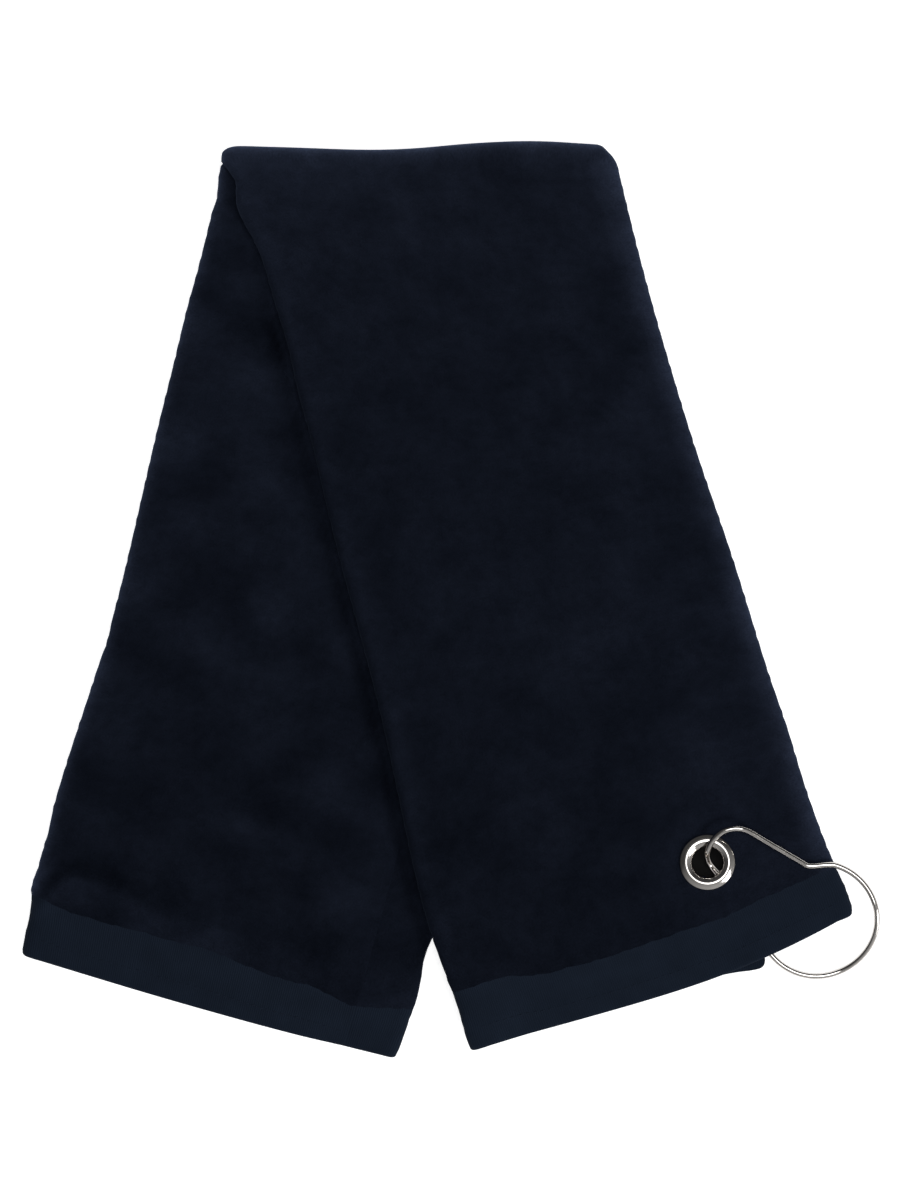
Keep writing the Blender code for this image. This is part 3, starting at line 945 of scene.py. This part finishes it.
# The first rounded corner starts inside the crown's line, so half of it is left out.
eyelet = lathe("grommet_eyelet_visual", crown() + rounded(lower, EYELET_ROUND)[3:])
washer = lathe("grommet_washer_visual", rounded(washer_corners, WASHER_ROUND))
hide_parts("grommet_eyelet")
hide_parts("grommet_washer")
for piece in (eyelet, washer):
    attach(piece, "front_leg")

# ---- hook ----
WIRE_R, WIRE_SIDES = 1.0, 28
RING_X, RING_Y, RING_R = 129.0, -112.2, 20.3
WIRE_LOW_Z = 1.2
WIRE_HIGH_Z = CLOTH_TOP + 1.4
HOLE_MID_Z = (CLOTH_TOP + BASE) / 2
RING_FROM, RING_TO, RING_FAR, CROSSING = 76.0, -177.0, -27.0, 48.0
RING_STEPS, NECK_STEPS, TAIL_STEPS = 150, 12, 8
LOOP_X, LOOP_Y, LOOP_R = 99.8, -89.4, 9.8
SHOULDER = ((131.0, -92.55), (128.0, -92.85), (126.0, -92.95))
KINK, KINK_OUT = np.array([124.5, -92.6, WIRE_HIGH_Z]), (0.1, -0.1, 0)
ARM_SHARES = (0.07, 0.2, 0.8)
# The small loop: angle, height over the level named, and how far inside its full size.
LOOP_OVER = ((80, 3.1, 0.0), (100, 3.0, 0.0), (122, 2.4, 0.0), (150, 0.9, 0.0))
LOOP_THROUGH = ((172, 3.2, 0.0), (190, -0.9, 0.4))
LOOP_UNDER = ((212, 0.4, 1.0), (240, 0.0, 0.6))
ARM_ANGLE, ARM_RISE = 63, 2.6
BACK_TIP = (-2.6, 0.4, 0.0)
# The wire's rounded tips, as shares of its radius.
TIP_SIZES = (0.35, 0.7, 0.93)


def ring_point(angle):
    """The big ring: over the cloth on one side, under it on the other."""
    under = float(smooth((RING_FAR + CROSSING - angle) / (2 * CROSSING)))
    z = WIRE_HIGH_Z + (WIRE_LOW_Z - WIRE_HIGH_Z) * under
    turn = math.radians(angle)
    return np.array([RING_X + RING_R * math.cos(turn), RING_Y + RING_R * math.sin(turn), z])


def loop_point(angle, z, inset=0.0):
    turn = math.radians(angle)
    r = LOOP_R - inset
    return np.array([LOOP_X + r * math.cos(turn), LOOP_Y + r * math.sin(turn), z])


def loop_points(level, places):
    return [loop_point(angle, level + over, inset) for angle, over, inset in places]


def through(points, steps):
    """A smooth line through the points, however unevenly they are spaced."""
    points = [np.array(p, float) for p in points]
    found = [points[0]]
    for i in range(len(points) - 1):
        p0, p1 = points[max(i - 1, 0)], points[i]
        p2, p3 = points[i + 1], points[min(i + 2, len(points) - 1)]
        before, length, after = (np.linalg.norm(q - p) for p, q in ((p0, p1), (p1, p2), (p2, p3)))
        a = (p2 - p0) * length / (before + length)
        b = (p3 - p1) * length / (length + after)
        for k in range(1, steps + 1):
            t = k / steps
            cubic = (2 * p1 - 2 * p2 + a + b) * t**3
            found.append(cubic + (3 * p2 - 3 * p1 - 2 * a - b) * t * t + a * t + p1)
    return found


def tube(name, line):
    """A round wire along the line, with rounded tips, as one closed mesh."""
    line = np.array(line, float)
    tangent = np.gradient(line, axis=0)
    tangent /= np.linalg.norm(tangent, axis=1)[:, None]
    normal = np.cross(tangent[0], [0.0, 0.0, 1.0])
    frames = []
    for t in tangent:
        normal = normal - t * (normal @ t)
        normal /= np.linalg.norm(normal)
        frames.append((t, normal, np.cross(t, normal)))
    tips = [(size, math.sqrt(1 - size**2) * WIRE_R) for size in TIP_SIZES]
    order = [(0, size, -reach) for size, reach in tips]
    order += [(i, 1.0, 0.0) for i in range(len(line))]
    order += [(len(line) - 1, size, reach) for size, reach in tips[::-1]]
    turn = np.linspace(0, math.tau, WIRE_SIDES, endpoint=False)[:, None]
    rings = []
    for i, size, shift in order:
        t, n, b = frames[i]
        rings.append(line[i] + t * shift + (n * np.cos(turn) + b * np.sin(turn)) * WIRE_R * size)
    ends_at = [[line[0] - tangent[0] * WIRE_R], [line[-1] + tangent[-1] * WIRE_R]]
    points = np.concatenate(rings + ends_at)
    tip = len(points) - 2
    index = np.arange(tip).reshape(len(rings), WIRE_SIDES)
    a, b = index[:-1], index[1:]
    faces = [tuple(quad) for quad in quads(a, np.roll(a, -1, 1), np.roll(b, -1, 1), b)]
    first, last = index[0], index[-1]
    for k in range(WIRE_SIDES):
        faces.append((tip, first[(k + 1) % WIRE_SIDES], first[k]))
    for k in range(WIRE_SIDES):
        faces.append((tip + 1, last[k], last[(k + 1) % WIRE_SIDES]))
    mesh = bpy.data.meshes.new(name)
    mesh.from_pydata([tuple(p) for p in points * MM], [], faces)
    mesh.materials.append(NICKEL)
    return placed(name, mesh)


ring = [ring_point(a) for a in np.linspace(RING_FROM, RING_TO, RING_STEPS)]
arm_top = loop_point(ARM_ANGLE, WIRE_HIGH_Z + ARM_RISE)
neck = through(
    [(x, y, WIRE_HIGH_Z) for x, y in SHOULDER]
    + [KINK + KINK_OUT]
    + [KINK + (arm_top - KINK) * share for share in ARM_SHARES]
    + [arm_top]
    + loop_points(WIRE_HIGH_Z, LOOP_OVER)
    + loop_points(HOLE_MID_Z, LOOP_THROUGH)
    + loop_points(WIRE_LOW_Z, LOOP_UNDER),
    NECK_STEPS,
)
back_tip = ring[-1] + BACK_TIP
tail = through([neck[-1], (neck[-1] + back_tip) / 2, back_tip], TAIL_STEPS)[1:]
hook = tube("wire_hook_visual", tail[::-1] + neck[::-1] + ring)
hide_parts("wire_hook")
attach(hook, "hook")

# ---- stitches ----
STITCH_PITCH, STITCH_LONG, STITCH_R, STITCH_THIN = 2.6, 2.1, 0.17, 0.45
STITCH_PARTS, STITCH_SIDES = 7, 8
STITCH_ARCH, STITCH_SUNK = 0.12, 0.1
STITCH_LINE = HEM_EDGE + 0.012
STITCH_END = 0.02


def stitches(name, kind, layer, u_start, u_end, node):
    """A row of short stitches along the turned hem, each a small arched thread."""
    row = cloth_points(kind, STITCH_LINE, 0.5)
    upper = np.nonzero((LAYER == layer) & (OFF == 0))[0]
    upper = upper[np.argsort(U[upper])]
    across, seam = U[upper], row[upper]
    slant = np.gradient(seam, axis=0)
    slant /= np.linalg.norm(slant, axis=1)[:, None]
    points, faces = [], []
    for i in range(int((u_end - u_start) * STRIP / STITCH_PITCH)):
        middle = u_start + (i + 0.5) * STITCH_PITCH / STRIP
        base = len(points)
        for t in np.linspace(0, 1, STITCH_PARTS):
            u = middle + (t - 0.5) * STITCH_LONG / STRIP
            x, y, z, ax, ay = (np.interp(u, across, line) for line in (*seam.T, *slant.T[:2]))
            arch = math.sin(math.pi * t)
            z += STITCH_ARCH * arch - STITCH_SUNK
            r = STITCH_R * (STITCH_THIN + (1 - STITCH_THIN) * max(arch, 0.0) ** 0.5)
            for a in np.linspace(0, math.tau, STITCH_SIDES, endpoint=False):
                wide = math.cos(a) * r
                points.append((x - ay * wide, y + ax * wide, z + r * math.sin(a)))
        sides = base + np.arange(STITCH_PARTS * STITCH_SIDES).reshape(STITCH_PARTS, STITCH_SIDES)
        p, q = sides[:-1], sides[1:]
        faces += [tuple(quad) for quad in quads(p, np.roll(p, -1, 1), np.roll(q, -1, 1), q)]
        faces += [tuple(sides[0][::-1]), tuple(sides[-1])]
    mesh = bpy.data.meshes.new(name)
    mesh.from_pydata([tuple(c * MM for c in p) for p in points], [], faces)
    mesh.materials.append(THREAD)
    obj = placed(name, mesh)
    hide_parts(node)
    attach(obj, kind + "_leg")
    return obj


front_row = stitches(
    "front_hem_stitches", "front", 2, STITCH_END, 1 - STITCH_END, "front_hem_stitching"
)
rear_row = stitches(
    "rear_hem_stitches", "rear", 3, STITCH_END, OUTER_END - STITCH_END / 2, "rear_hem_stitching"
)

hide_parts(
    "rear_leg_cloth", "front_leg_cloth", "rear_hem_band", "front_hem_band", "crosswise_fold"
)
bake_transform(cloth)

# ---- floor, light ----
FLOOR_SIZE, FLOOR_Z = 6, -0.0002
FLOOR_COLOUR = (0.7, 0.7, 0.7)
FLOOR_GLOW = 0.72
SHADE_R, SHADE_EDGE, SHADE_DEEP, SHADE_LEFT = 0.0068, 0.0015, 0.02, 0.015


def floor_material():
    """A pale floor that glows a little, with a painted shadow under the eyelet's hole: its colour
    darkened and its glow turned off there.
    """
    made, tree, shader = material("floor", FLOOR_COLOUR, 0.9, specular=0.0)
    shader.inputs["Emission Color"].default_value = (1, 1, 1, 1)
    coords = tree.nodes.new("ShaderNodeTexCoord")
    coords.object = eyelet
    from_hole = tree.nodes.new("ShaderNodeVectorMath")
    from_hole.operation = "SUBTRACT"
    from_hole.inputs[1].default_value = (GX * MM, GY * MM, 0)
    tree.links.new(coords.outputs["Object"], from_hole.inputs[0])
    parts = tree.nodes.new("ShaderNodeSeparateXYZ")
    tree.links.new(from_hole.outputs["Vector"], parts.inputs[0])
    x2, y2, z2 = (multiply(tree, parts.outputs[axis], parts.outputs[axis]) for axis in "XYZ")
    near = ramp(tree, add(tree, x2, y2), SHADE_R**2, (SHADE_R + SHADE_EDGE) ** 2, 1, 0)
    close = ramp(tree, z2, SHADE_DEEP**2, SHADE_DEEP**2 * 1.2, 1, 0)
    # Painted shadow: the floor's colour is darkened under the eyelet's hole.
    lit = ramp(tree, multiply(tree, near, close), 0, 1, 1.0, SHADE_LEFT)
    tint(tree, shader, FLOOR_COLOUR, lit)
    glowing = ramp(tree, lit, SHADE_LEFT, 1, 0, FLOOR_GLOW)
    tree.links.new(glowing, shader.inputs["Emission Strength"])
    return made


bpy.ops.mesh.primitive_plane_add(size=FLOOR_SIZE, location=(0, 0, FLOOR_Z))
floor = bpy.context.object
floor.name = "floor"
floor.data.materials.append(floor_material())

# The sky, by how far up it is: dark, with a bright patch overhead, and a faint glow low in front.
SKY_UP, GLOW_FROM, GLOW_MOST, SKY_STRENGTH = (0.03, 0.1, 1), (0.4, -0.9, 0.15), 0.2, 2.0
SKY_STOPS = ((0.0, 0.015), (0.35, 0.02), (0.6, 0.03), (0.8, 0.025), (0.935, 0.06), (0.968, 2.1))
world = bpy.data.worlds.new("studio")
bpy.context.scene.world = world
world.use_nodes = True
sky = world.node_tree
background = sky.nodes["Background"]
direction = sky.nodes.new("ShaderNodeTexCoord").outputs["Generated"]


def towards(way):
    """How far the sky's direction points the given way."""
    node = sky.nodes.new("ShaderNodeVectorMath")
    node.operation = "DOT_PRODUCT"
    node.inputs[1].default_value = Vector(way).normalized()
    sky.links.new(direction, node.inputs[0])
    return node.outputs["Value"]


overhead = sky.nodes.new("ShaderNodeValToRGB")
overhead.color_ramp.interpolation = "EASE"
while len(overhead.color_ramp.elements) < len(SKY_STOPS):
    overhead.color_ramp.elements.new(0.5)
for element, (at, level) in zip(overhead.color_ramp.elements, SKY_STOPS):
    element.position = at
    element.color = (level, level, level, 1)
sky.links.new(towards(SKY_UP), overhead.inputs["Fac"])
glow = ramp(sky, towards(GLOW_FROM), 0.0, 1, 0, GLOW_MOST)
glow.node.clamp = True
sky.links.new(add(sky, overhead.outputs["Color"], glow), background.inputs["Color"])
background.inputs["Strength"].default_value = SKY_STRENGTH

# Soft boxes: name, place, size and power; both are aimed at the towel's middle.
SOFTBOXES = (
    ("key", (0.85, -0.65, 0.9), (0.36, 0.36), 7),
    ("low", (0.9, -0.75, 0.4), (0.3, 0.2), 1),
)
for name, place, size, power in SOFTBOXES:
    lamp = bpy.data.lights.new(name, "AREA")
    lamp.shape = "RECTANGLE"
    lamp.size, lamp.size_y = size
    lamp.energy = power
    softbox = bpy.data.objects.new(name, lamp)
    bpy.context.scene.collection.objects.link(softbox)
    softbox.location = place
    softbox.rotation_euler = (-Vector(place)).to_track_quat("-Z", "Y").to_euler()

bpy.context.scene.view_settings.view_transform = "Standard"
